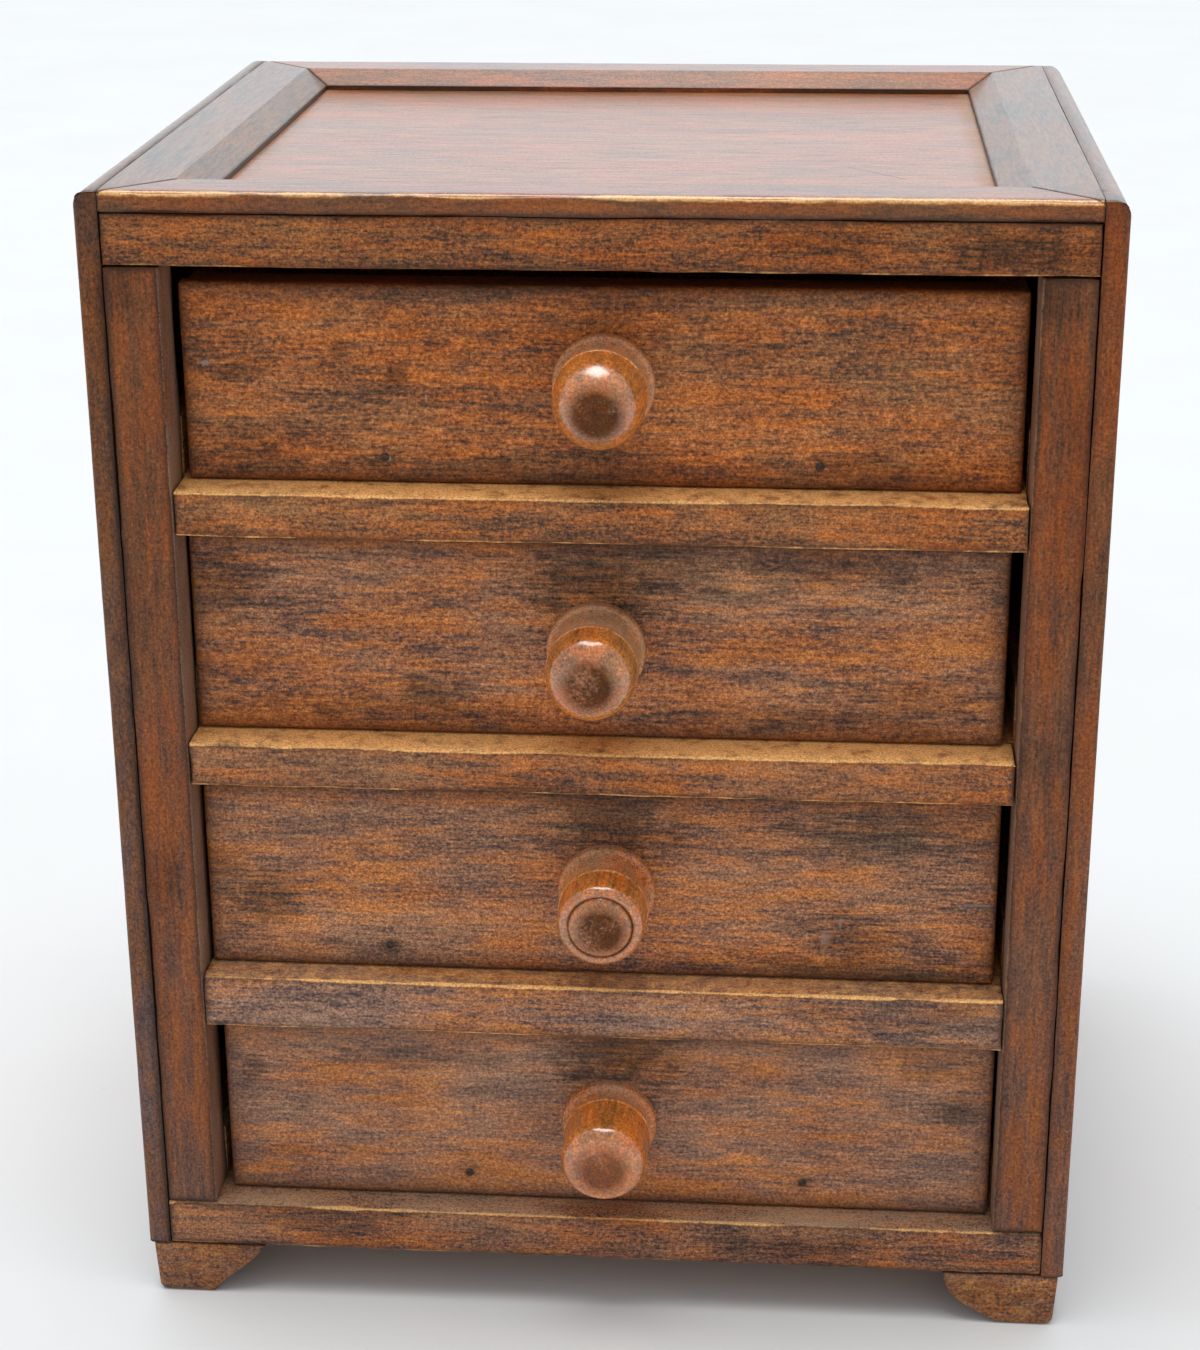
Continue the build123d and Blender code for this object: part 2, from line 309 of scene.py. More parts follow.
def stained(wood, place, layers, tones, damp, scuffs, contrast):
    """The colour, grime and dust of a board: a ramp over the tone, then hue, fading, damp, grime, rubbing and dust.

    Scuffs are pale spots, each a (centre, half sizes, strength). The grime mark also carries painted shade and a
    painted dark reflection, and the rubbing paints light on the divider ledges.
    """
    ramp = [(position, tones[tone]) for tone, position in ramp_places.items()]
    colour = wood.node("ShaderNodeValToRGB", {"stops": ramp}, {0: 0.5 + contrast * swing(layers, "tone")})
    fine = 1.0 + (0.3 + 0.7 * contrast) * swing(layers, "fine")
    colour = wood.mix(1.0, colour, fine, "MULTIPLY")
    hue = 0.5 + swing(layers, "hue")
    colour = wood.mix(hue_strength * wood.fade(hue, 0.46, 0.60), colour, orange, "MULTIPLY")
    colour = wood.mix(hue_strength * wood.fade(hue, 0.53, 0.39), colour, grey_brown, "MULTIPLY")
    colour = wood.mix(wood.mark("faded"), colour, faded_tint, "MULTIPLY")
    colour = wood.mix(damp, colour, smoke_black, "MULTIPLY")
    # Grime, with painted shade under the lips, at the drawer rims and on the feet, and a painted reflection on knob
    # ends.
    grime = wood.mark("grime") * wood.fade(0.5 + swing(layers, "grime"), 0.20, 0.55)
    colour = wood.mix(grime_and_shade_strength * grime, colour, tones["pore"])
    # The rubbing also paints light and sheen on the tops of the dividers.
    rubbing = wood.fade(wood.mark("rubbed") * (2.6 * layers["fleck"] - 0.3), 0.25, 1.0)
    bare = wood.mix(1.0, tones["rub"], fine, "MULTIPLY")
    colour = wood.mix(rub_strength * rubbing, colour, bare)
    pale = speckle_strength * wood.fade(layers["speckle"], 0.66, 0.80)
    ragged = swing(layers, "scuff")
    for centre, half_sizes, strength in scuffs:
        edge = wood.away(place, centre, half_sizes) + ragged
        pale = pale.most(wood.fade(edge, 1.1, 0.4) * strength)
    colour = wood.mix(pale, colour, tones["dust"])
    dust = wood.mark("dusty") * wood.fade(0.5 + swing(layers, "dust"), 0.20, 0.75)
    return wood.mix(dust_strength * dust, colour, tones["dust"]), grime, dust


print("stain ramp:", ramp_places)

# %% [markdown]
# ## The whole wood finish
# Stain, pores and damp also shape the surface: the noises give it a low relief, and damp and dust dull it. Over that
# lies a coat of old wax or lacquer, thinner where there is grime, painted shade or dust. On some pieces a mark says
# where
# the wax is: `level` on upward faces and `polished` on the ends of the knobs.

# %% Wood finish
board_shift = (1.7, 2.3, 3.1)
relief_depth = 0.2 * mm


def old_wood(
    name, grain, tones, spots=(), scuffs=(), cracks=(), shift=(0, 0, 0), blotting=1.0, contrast=1.0,
    rough=0.5, mirror=0.2, shine=0.05, polish=0.2, lacquer=1.5, waxed=None,
):
    """A material of old stained wood. Coat weight: shine x (1 - grime and shade) x (1 - dust), times the mark waxed."""
    wood = Finish(bpy.data.materials.new(name))
    chest_place = wood.node("ShaderNodeTexCoord", out="Object")
    board = wood.node("ShaderNodeAttribute", {"attribute_name": "board"}, out="Vector")
    place = wood.vector("ADD", wood.vector("MULTIPLY", board, board_shift), chest_place)
    layers = wood_noises(wood, wood.vector("ADD", place, shift), grain)
    damp = blots(wood, chest_place, layers, spots, cracks, blotting)
    colour, grime, dust = stained(wood, chest_place, layers, tones, damp, scuffs, contrast)
    height = swing(layers, "height") - 0.6 * damp
    normal = wood.node("ShaderNodeBump", None, {"Strength": 0.35, "Distance": relief_depth, "Height": height})
    sheen = rough + 0.3 * (0.5 - layers["streak"]) + 0.14 * damp + 0.25 * dust
    wood.set(Base_Color=colour, Roughness=sheen, Normal=normal, Specular_IOR_Level=mirror)
    coat = shine * (1.0 - grime) * (1.0 - dust)
    if waxed:
        coat = coat * wood.mark(waxed)
    wood.set(Coat_Weight=coat, Coat_Roughness=polish, Coat_IOR=lacquer)
    return wood.owner


print("wood finish ready, with relief of", relief_depth / mm, "mm")

# %% [markdown]
# ## Where the stains are
# Some stains are easy to recognise in the photograph, such as the black end of the top rail and the blots on the
# second and third drawers. They are listed by their place on the front in millimetres from the middle and from the
# floor, so each one lands on its own board and moves with its drawer. One spot under the first knob is no stain but a
# painted shadow of the knob.

# %% Stains
front_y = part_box("front_stile_left")[0].y
stain_depth = 40 * mm


def stains(*spots):
    """Spots on the front, from (x, z, half width, half height, strength), deep enough to reach a drawer set back."""
    return [
        ((x * mm, front_y, z * mm), (half_width * mm, stain_depth, half_height * mm), strength)
        for x, z, half_width, half_height, strength in spots
    ]


def crack(start, end, half_width):
    """A dark line on the top between two places, as its middle and its scaled directions along and across."""
    start, end = (np.array((*place, cad_high.z / mm)) * mm for place in (start, end))
    along = (end - start) / np.linalg.norm(end - start)
    across = np.cross(along, (0, 0, 1))
    half_length = np.linalg.norm(end - start) / 2
    return tuple((start + end) / 2), tuple(along / half_length), tuple(across / (half_width * mm))


drawer_stains_and_shadow = stains(
    (-51, 212, 2, 2, 0.8), (-39.6, 207.3, 3, 3, 0.8), (-42.6, 190.9, 2.6, 2.2, 0.9), (43.5, 190.4, 2.4, 2.2, 0.9),
    (-44.9, 83.8, 2.2, 2.0, 0.9), (-29.1, 29, 2.2, 2.0, 0.9), (43.4, 29.4, 2.2, 2.0, 0.9), (-73, 208, 7, 2.5, 0.8),
    (55, 190, 26, 4, 0.7), (-5, 189, 45, 4, 0.7), (-70, 192, 12, 8, 0.5), (-76, 163, 9, 9, 0.8),
    (-35, 141, 9, 5, 0.9), (10, 168, 30, 7, 0.75), (45, 169, 34, 5, 0.7), (62, 141, 18, 6, 0.6),
    (-71.5, 94, 8, 7, 0.95), (-77, 99, 6, 5, 0.8), (58, 113, 22, 7, 0.9), (52, 89, 12, 6, 0.7),
    (0, 115, 14, 6, 0.6), (52, 80.5, 34, 4, 0.9), (-45, 137, 36, 3.5, 0.7), (45, 137, 36, 3.5, 0.7),
    (-75.5, 53, 3, 3, 0.8), (75.6, 47.5, 5, 4, 0.8), (70, 59, 12, 4, 0.7), (-40, 57, 26, 3, 0.4),
    # The spot at (1, 194) is a painted shadow under the first knob; the rest are stains.
    (1, 219, 15, 7, 0.5), (1, 194, 12, 6, 0.6), (-1, 166, 16, 12, 1.1), (1, 114, 17, 12, 1.0),
    (2, 60, 16, 12, 1.1),
)
rail_stains = stains(
    (80, 235.5, 16, 5, 0.95), (45, 236.5, 12, 4, 0.7), (-78, 178, 8, 4, 0.5), (70, 74, 30, 6, 0.6),
    (-16, 123, 10, 2, 0.6), (-60, 20, 18, 4, 0.7), (40, 17, 20, 4, 0.7),
)
stile_stains = stains(
    (87, 226, 5, 6, 0.7), (-92, 226, 5, 6, 0.6), (-91, 100, 4, 8, 0.5), (-93, 158, 4, 14, 0.4),
    (90, 132, 4, 9, 0.4), (92, 202, 3, 10, 0.4),
)
drawer_scuffs = stains(
    (-77.7, 209.5, 1.1, 0.7, 0.8), (69, 210.7, 0.8, 0.5, 0.8), (-42.2, 190.6, 0.9, 0.6, 0.9), (-34, 203, 0.3, 0.9, 0.7),
    (46.9, 88.5, 1.0, 2.0, 0.45), (50, 92, 0.4, 1.4, 0.5), (78, 97, 4, 0.4, 0.5),
)
top_hole = (95.3 * mm, -67.3 * mm, cad_high.z), (1.1 * mm, 1.4 * mm, 30 * mm), 1.0
top_crack = crack((47.1, -21.7), (60.2, -36.3), 0.35)
print("stains:", len(drawer_stains_and_shadow) + len(rail_stains) + len(stile_stains), "scuffs:", len(drawer_scuffs))

# %% [markdown]
# ## The finish of each kind of board
# The boards came from different planks and aged in different places: the side rails of the top are weathered grey, the
# strips at the sides almost black, and the knobs a redder wood. Each set of tones goes from the dark pore to the light
# wood, and then to wood that is rubbed bare and to dust. The top and the knobs were waxed, the rest is dull.

# %% Tones and finishes
tone_names = ("pore", "dark", "middle", "light", "rub", "dust")


def tones_of(*colours):
    """The tones of one kind of wood by name, from screen colours."""
    return {name: screen(*colour) for name, colour in zip(tone_names, colours)}


old_stain = tones_of((68, 44, 32), (114, 68, 40), (162, 95, 50), (206, 134, 74), (218, 160, 98), (178, 150, 122))
drawer_stain = {**old_stain, "dust": screen(156, 138, 124)}
# The dividers' rub tone is pale: bare wood, and painted light on their ledges.
divider_stain_and_light = tones_of((68, 44, 32), (106, 65, 40), (155, 92, 50), (194, 125, 70), (254, 190, 116), (158, 128, 102))
frame_stain = tones_of((46, 32, 26), (98, 58, 35), (146, 84, 44), (186, 116, 60), (228, 172, 104), (176, 146, 118))
stile_stain = tones_of((46, 29, 21), (88, 50, 29), (124, 68, 35), (158, 94, 48), (206, 148, 90), (160, 134, 114))
weathered_stain = tones_of((40, 31, 27), (82, 58, 44), (118, 84, 60), (156, 118, 86), (206, 160, 110), (176, 150, 126))
edge_stain = tones_of((30, 22, 18), (68, 44, 30), (104, 65, 42), (140, 90, 54), (180, 128, 82), (150, 130, 112))
# The knobs' pore tone also colours the dark middle of each end, which is partly a painted reflection.
knob_stain_and_reflection = tones_of((58, 33, 20), (146, 78, 32), (190, 106, 42), (222, 146, 72), (236, 188, 128), (206, 172, 144))
top_looks = {"rough": 0.4, "mirror": 0.3, "contrast": 0.6, "waxed": "level"}
strip_looks = {"blotting": 0.5, "contrast": 0.6}
knob_looks = {"blotting": 0.5, "rough": 0.36, "contrast": 0.75, "mirror": 0.1, "shine": 1.0, "waxed": "polished"}
finishes = {
    "rail": old_wood("frame_wood_across", "x", frame_stain, rail_stains),
    "divider": old_wood("frame_wood_divider", "x", divider_stain_and_light, rail_stains, blotting=0.7),
    "top_rail": old_wood("frame_wood_top", "x", frame_stain, shine=1.0, lacquer=1.8, **top_looks),
    "deep_rail": old_wood("frame_wood_deep", "y", weathered_stain, [top_hole], shine=0.9, lacquer=1.6, **top_looks),
    "stile": old_wood("frame_wood_upright", "z", stile_stain, stile_stains, **strip_looks),
    "edge": old_wood("frame_wood_edge", "z", edge_stain, stile_stains, **strip_looks),
    "top_panel": old_wood(
        "panel_wood_across", "x", old_stain, cracks=[top_crack], shine=1.0, lacquer=1.6, **top_looks
    ),
    "panel": old_wood("panel_wood_upright", "z", old_stain),
    "drawer": old_wood("drawer_front_wood", "x", drawer_stain, drawer_stains_and_shadow, drawer_scuffs),
    "low_drawer": old_wood("drawer_front_wood_low", "x", drawer_stain, drawer_stains_and_shadow, drawer_scuffs, contrast=0.8),
    "bright_knob": old_wood("knob_wood_bright", "y", knob_stain_and_reflection, polish=0.22, lacquer=2.2, **knob_looks),
    "knob": old_wood("knob_wood", "y", knob_stain_and_reflection, polish=0.17, lacquer=2.0, **knob_looks),
}
print("finishes:", ", ".join(finishes))

# %% [markdown]
# ## Numbers on a lattice, and a mesh from arrays
# Nothing handmade is quite flat. A little smooth noise, read at each vertex, makes faces wave and edges chip. The last
# helper turns finished arrays into a mesh object at the origin, gives it its marks, hangs it on the body that carries
# it, and hides the CAD nodes that it stands for.

# %% Noise and mesh helpers
lattice_size = 16
sharp_angle = math.radians(40)
board_numbers = np.random.default_rng(11)


def ripple(points, size, seed):
    """Smooth heights from 0 to 1: random numbers on a cubic lattice of that size, blended by an S-curve."""
    table = np.random.default_rng(seed).random((lattice_size,) * 3)
    cell = np.floor(points / size).astype(int)
    share = points / size - cell
    share = share * share * (3 - 2 * share)
    height = np.zeros(len(points))
    for corner in np.ndindex(2, 2, 2):
        weight = np.prod(np.where(corner, share, 1 - share), axis=1)
        height += weight * table[tuple(((cell + corner) % lattice_size).T)]
    return height


def bell(distance, reach):
    """1 at no distance, falling off as a bell curve over the reach."""
    return np.exp(-((distance / reach) ** 2))


def vertex_normals(points, quads):
    """The outward direction at each vertex: the sum of the cross products of its faces' diagonals, at length 1."""
    a, b, c, d = (points[quads[:, k]] for k in range(4))
    across = np.cross(c - a, d - b)
    normals = np.zeros_like(points)
    for k in range(4):
        np.add.at(normals, quads[:, k], across)
    return normals / np.maximum(np.linalg.norm(normals, axis=1, keepdims=True), 1e-12)


def loop_faces(rings, count, flip=False):
    """The quads between each ring of a closed loop and the next, and the two end caps, turned over by flip."""
    index = np.arange(rings * count).reshape(rings, count)
    after = np.roll(index, -1, axis=1)
    quads = np.stack((index[:-1], after[:-1], after[1:], index[1:]), axis=-1).reshape(-1, 4)
    way = -1 if flip else 1
    return quads[:, ::way], [index[0].tolist()[::-way], index[-1].tolist()[::way]]


def node_box(node):
    """The lowest and the highest corner of a CAD node, as arrays."""
    return [np.array(corner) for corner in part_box(node)]


def add_piece(name, points, faces, body, nodes, slot, finish, **marks):
    """A mesh object at the origin from arrays of points and faces, riding on a body in place of CAD nodes."""
    mesh = bpy.data.meshes.new(name)
    mesh.from_pydata(points.tolist(), [], faces)
    marks["board"] = np.full(len(points), board_numbers.random())
    for mark, values in marks.items():
        mesh.attributes.new(mark, "FLOAT", "POINT").data.foreach_set("value", values.astype(np.float32))
    mesh.shade_smooth()
    mesh.set_sharp_from_angle(angle=sharp_angle)
    mesh.materials.append(finish)
    piece = bpy.data.objects.new(name, mesh)
    bpy.context.scene.collection.objects.link(piece)
    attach(piece, body)
    if nodes:
        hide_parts(*nodes)
    return piece


print("mesh helpers ready, with a lattice of", lattice_size, "cells a side")

# %% [markdown]
# ## A box of grids
# Stiles, rails, dividers, panels and drawer fronts are all boards. Each is a closed box of six grids whose lines crowd
# together near the edges, where the detail is. An edge is rounded by pulling its points back to an arc.

# %% Box grids and round edges
sides = {"left": (0, -1), "right": (0, 1), "front": (1, -1), "back": (1, 1), "bottom": (2, -1), "top": (2, 1)}
all_edges = [(a, b) for a in sides for b in sides if sides[a][0] < sides[b][0]]
top_edge, drop_edge = ("front", "top"), ("front", "bottom")
edge_steps = np.array((0, 0.12, 0.3, 0.55, 0.9, 1.4, 2.1, 3.2, 4.8)) * mm
grid_step = 3.5 * mm
weld_size = 0.001 * mm
middle_gap = 0.97


def both(side):
    """The two edges of a box where a side meets the left and the right one."""
    return ("left", side), ("right", side)


def stops(low, high, extra=()):
    """Places between low and high that crowd towards both ends, with any extra ones."""
    half = (high - low) / 2
    away = np.concatenate((edge_steps, np.arange(edge_steps[-1] + grid_step, half, grid_step)))
    away = away[away < half * middle_gap]
    return np.unique(np.concatenate((low + away, [low + half], high - away, extra)))


def box_grids(low, high, extra_x=()):
    """The six faces of a box as grids of two parameters, welded along their shared edges."""
    places = [stops(low[0], high[0], extra_x), stops(low[1], high[1]), stops(low[2], high[2])]
    points, quads, count = [], [], 0
    for axis, sign in sides.values():
        u, v = (axis + 1) % 3, (axis + 2) % 3
        grid_u, grid_v = np.meshgrid(places[u], places[v], indexing="ij")
        sheet = np.empty(grid_u.shape + (3,))
        sheet[..., axis] = high[axis] if sign > 0 else low[axis]
        sheet[..., u] = grid_u
        sheet[..., v] = grid_v
        index = count + np.arange(grid_u.size).reshape(grid_u.shape)
        ring = np.stack((index[:-1, :-1], index[1:, :-1], index[1:, 1:], index[:-1, 1:]), axis=-1)
        quads.append(ring.reshape(-1, 4)[:, ::sign])
        points.append(sheet.reshape(-1, 3))
        count += grid_u.size
    points, quads = np.concatenate(points), np.concatenate(quads)
    keys = np.round(points / weld_size).astype(np.int64)
    _, first, same = np.unique(keys, axis=0, return_index=True, return_inverse=True)
    return points[first], same.reshape(-1)[quads]


def wall(side, low, high):
    """The axis, the direction and the place of one side of a box."""
    axis, sign = sides[side]
    return axis, sign, high[axis] if sign > 0 else low[axis]


def soften(points, low, high, edges):
    """Rounds edges: a point within a radius of both faces is pulled back to that radius from the arc's axis."""
    points = points.copy()
    for (first, second), radius in edges.items():
        a, sign_a, wall_a = wall(first, low, high)
        b, sign_b, wall_b = wall(second, low, high)
        axis_a = wall_a - sign_a * radius
        axis_b = wall_b - sign_b * radius
        out_a = (points[:, a] - axis_a) * sign_a
        out_b = (points[:, b] - axis_b) * sign_b
        near = (out_a > 0) & (out_b > 0)
        pull = np.minimum(1, radius / np.maximum(np.hypot(out_a, out_b), 1e-9))
        points[near, a] = (axis_a + sign_a * out_a * pull)[near]
        points[near, b] = (axis_b + sign_b * out_b * pull)[near]
    return points


def nearness(points, low, high, edges, reach):
    """How near each point is to the listed edges: 1 on an edge, falling off as a bell curve over the reach."""
    near = np.zeros(len(points))
    for (first, second), strength in edges.items():
        a, _, wall_a = wall(first, low, high)
        b, _, wall_b = wall(second, low, high)
        gap_a, gap_b = points[:, a] - wall_a, points[:, b] - wall_b
        near = np.maximum(near, strength * np.exp(-(gap_a**2 + gap_b**2) / reach**2))
    return near


print("a box has", len(all_edges), "edges, with grid lines down to", edge_steps[1] / mm, "mm apart")

# %% [markdown]
# ## A worn board
# Three whole-array steps age a board: its edges are rounded, its faces wave a little inwards, and rubbed edges lose
# some more in shallow chips. At the joints the edges are crushed and dirty, though never evenly. The stain of the lower
# boards has faded to grey.

# %% Wear, and boards of the carcass
joint_radius = 0.3 * mm
joint_reach = 1.1 * mm
joint_wear = 0.9
rub_reach = 0.7 * mm
chip_reach = 1.6 * mm
chip_depth = 0.55 * mm
chip_size = 7 * mm
chip_floor = 0.35
fine_chip_size = 2.5 * mm
fine_chip_share = 0.4
wave_depth = 0.14 * mm
wave_size = 28 * mm
wear_size = 11 * mm
heap_size = 9 * mm
reveal_dust = 0.9
fading_start = 190 * mm
fading_run = 150 * mm
fading_most = 0.8


def aged(points, quads, rubbed, seed):
    """Points moved inwards: a slow wave over the faces, and chips where an edge is rubbed."""
    normals = vertex_normals(points, quads)
    wave = wave_depth * ripple(points, wave_size, seed)
    chips = np.clip(ripple(points, chip_size, seed + 1) - chip_floor, 0, 1)
    chips = chips + fine_chip_share * ripple(points, fine_chip_size, seed + 2)
    return points - normals * (wave + chip_depth * rubbed * chips)[:, None]


def broken(points, seed):
    """Wear that comes and goes along an edge, from 0 to 1.2, by a slow noise."""
    return np.clip(2.4 * ripple(points, wear_size, seed) - 0.4, 0, 1.2)


def greyed(points):
    """How far the stain has faded to grey: 0 high up, rising in a straight line towards the floor."""
    return fading_most * np.clip((fading_start - points[:, 2]) / fading_run, 0, 1)


def carcass_board(
    node, look, rounded=None, rubbed=None, slot="frame_wood", ledge=0.0, bared_and_lit=0.0, faded=None, reveal=0,
    dust_lines=(), seed=0,
):
    """A board of the carcass in place of the CAD node of that name.

    Its upward side is dusty by the ledge's share, and rubbed and painted lighter, for the light and sheen on it, by the
    share bared. The side towards reveal along x is dusty too. It is faded by a given share, or more towards the floor.
    Dust lines run across x at (place, half width, strength).
    """
    rounded, rubbed = rounded or {}, rubbed or {}
    low, high = node_box(node)
    points, quads = box_grids(low, high)
    normals = vertex_normals(points, quads)
    up = np.clip(normals[:, 2], 0, 1)
    points = soften(points, low, high, {**dict.fromkeys(all_edges, joint_radius), **rounded})
    joints = nearness(points, low, high, dict.fromkeys(all_edges, 1.0), joint_reach)
    wear = nearness(points, low, high, rubbed, chip_reach)
    wear = np.maximum(wear, joint_wear * joints * broken(points, seed + 8))
    dusty = np.maximum(ledge * up, reveal_dust * np.clip(reveal * normals[:, 0], 0, 1))
    for place, half_width, strength in dust_lines:
        heap = bell(points[:, 0] - place, half_width) * up
        dusty = np.maximum(dusty, strength * heap * (0.4 + 0.9 * ripple(points, heap_size, seed + 5)))
    bright = nearness(points, low, high, rubbed, rub_reach) * (0.3 + 0.7 * broken(points, seed + 7))
    marks = {
        # On upward faces the share bared also paints the light and sheen on the ledges.
        "rubbed": np.maximum(bright, bared_and_lit * up),
        "grime": joints,
        "dusty": dusty,
        "faded": greyed(points) if faded is None else np.full(len(points), faded),
        "level": up,
    }
    points = aged(points, quads, wear, seed)
    return add_piece(f"{node}_worn", points, quads.tolist(), "carcass", [node], slot, finishes[look], **marks)


print("chips up to", chip_depth / mm, "mm deep, waves", wave_depth / mm, "mm")

# %% [markdown]
# ## Front frame
# Two rails run across the front, two stiles stand between them, and three dividers between the stiles. The stain is
# worn off the tops of the dividers and along their upper front edges, where drawers and fingers pass, so those ledges
# are pale and their edges rounder and brighter still. Their tops are also painted lighter, for the light that falls on
# them and their sheen. The bottom rail's ledge keeps its dust, and the lower a board is, the greyer its stain has
# faded.

# %% Rails, stiles and dividers
worn_radius = 0.8 * mm
ledge_edges = {top_edge: worn_radius, drop_edge: worn_radius}
ledge_rubs = {top_edge: 2.0, drop_edge: 0.8}
divider_looks = {
    "divider_1": {"bared_and_lit": 0.85, "faded": 0.05, "seed": 50},
    "divider_2": {"bared_and_lit": 0.9, "faded": 0.25, "seed": 60},
    "divider_3": {"bared_and_lit": 0.5, "faded": 0.9, "seed": 70},
}
front_pieces = [
    carcass_board("front_top_rail", "rail", {drop_edge: worn_radius}, {drop_edge: 0.7}, seed=10),
    carcass_board("front_bottom_rail", "rail", ledge_edges, ledge_rubs, ledge=1.0, faded=0.6, seed=20),
]
for side, inner_side, reveal, seed in (("left", "right", 1, 30), ("right", "left", -1, 40)):
    edge = inner_side, "front"
    stile = f"front_stile_{side}", "stile", {edge: worn_radius}, {edge: 0.5}
    front_pieces.append(carcass_board(*stile, reveal=reveal, seed=seed))
for name, wear in divider_looks.items():
    front_pieces.append(carcass_board(name, "divider", ledge_edges, ledge_rubs, ledge=0.25, **wear))
print("front frame:", len(front_pieces), "boards,", sum(len(p.data.polygons) for p in front_pieces), "faces")

# %% [markdown]
# ## Panels and back
# Thin boards lie behind the mitred frames of the top and the sides, and a plain board closes the back. Only the top
# panel shows in the photograph. Pale dust has gathered on it in the corner along the right rail, and less on the left.

# %% Panels
panel_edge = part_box("top_frame_right")[0].x
panel_dust = ((panel_edge - 0.5 * mm, 0.9 * mm, 1.3), (0.3 * mm - panel_edge, 0.5 * mm, 0.7))
panel_seeds = {"left_panel": 110, "right_panel": 120, "back_panel": 130}
panel_pieces = [carcass_board("top_panel", "top_panel", slot="panel_wood", dust_lines=panel_dust, seed=100)]
for name, seed in panel_seeds.items():
    panel_pieces.append(carcass_board(name, "panel", slot="panel_wood", seed=seed))
print("panels:", len(panel_pieces))

# %% [markdown]
# ## Profile of a mitred rail
# The top and both sides are frames of four rails, mitred at the corners, with the inner edge planed to a bevel. One
# profile gives every rail: it is carried along the rail, and at each end the path stops short by the point's distance
# from the outer edge, which cuts the mitre at 45 degrees.

# %% Rail profile and path
rail_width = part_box("top_frame_front")[1].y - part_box("top_frame_front")[0].y
bevel_run = 5.8 * mm
lip = 1.0 * mm
mitre_gap = 0.04 * mm
mitre_ease = 0.16 * mm
ease_reach = 0.35 * mm


def rail_profile(thickness):
    """The rail's section as a closed loop of (distance from the outer edge, height), close together at its corners."""
    corners = np.array(
        ((0, 0), (rail_width, 0), (rail_width, lip), (rail_width - bevel_run, thickness), (0, thickness))
    )
    runs = []
    for start, end in zip(corners, np.roll(corners, -1, axis=0)):
        length = np.linalg.norm(end - start)
        share = stops(0, length)[:-1] / length
        runs.append(start + share[:, None] * (end - start))
    return np.concatenate(runs)


def rail_grid(length, profile, outer, along, across, out):
    """Places outer + s along + w across + t out, with s up to half length - w, and their distances to the end."""
    w, t = profile[:, 0], profile[:, 1]
    station = stops(-length / 2, length / 2) / (length / 2)
    s = station[:, None] * (length / 2 - mitre_gap - w)[None, :]
    to_end = (length / 2 - w)[None, :] - np.abs(s)
    eased = t - mitre_ease * bell(to_end, ease_reach) * (t > lip / 2)
    return outer + s[..., None] * along + w[None, :, None] * across + eased[..., None] * out, to_end


print("rails", round(rail_width / mm, 2), "mm wide, of which the bevel takes", bevel_run / mm, "mm")

# %% [markdown]
# ## Mitred frames
# The outer edges of the whole chest are rounded by the same `soften` step as a board's, on the chest's own box, so that
# the rounding runs on past every joint. Hands rubbed the front edge of the top bright, and dirt stays in the mitres and
# at the front corners. Under the bevel's lip the dark is dirt and painted shade.

# %% Mitred rails
carcass_low = np.array((cad_low.x, front_y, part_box("front_bottom_rail")[0].z))
carcass_high = np.array((cad_high.x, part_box("back_panel")[1].y, cad_high.z))
side_radius = 1.2 * mm
shoulder_radius = 3.4 * mm
back_radius = 4.6 * mm
handled_edges = {
    **dict.fromkeys(both("top"), shoulder_radius),
    **dict.fromkeys(both("front"), side_radius),
    **dict.fromkeys(both("back"), back_radius),
    top_edge: 0.9 * mm,
    ("back", "top"): 1.4 * mm,
}
top_rubs = {**dict.fromkeys(handled_edges, 0.3), top_edge: 1.8, ("back", "top"): 0.8}
side_rubs = dict.fromkeys(handled_edges, 0.35)
handled_reach = 0.9 * mm
crest_rub = 0.3
mitre_dirt = 0.9
mitre_dirt_reach = 0.5 * mm
lip_dirt_and_shade = 0.5 * mm
lip_dirt_and_shade_fade = 0.4 * mm
right_seam = 0.5
corner_reach = 6.0 * mm
corner_dirt = ((carcass_low[0], 1.0), (carcass_high[0], 0.6))
face_grime = 0.35
weathered_fading = 0.15


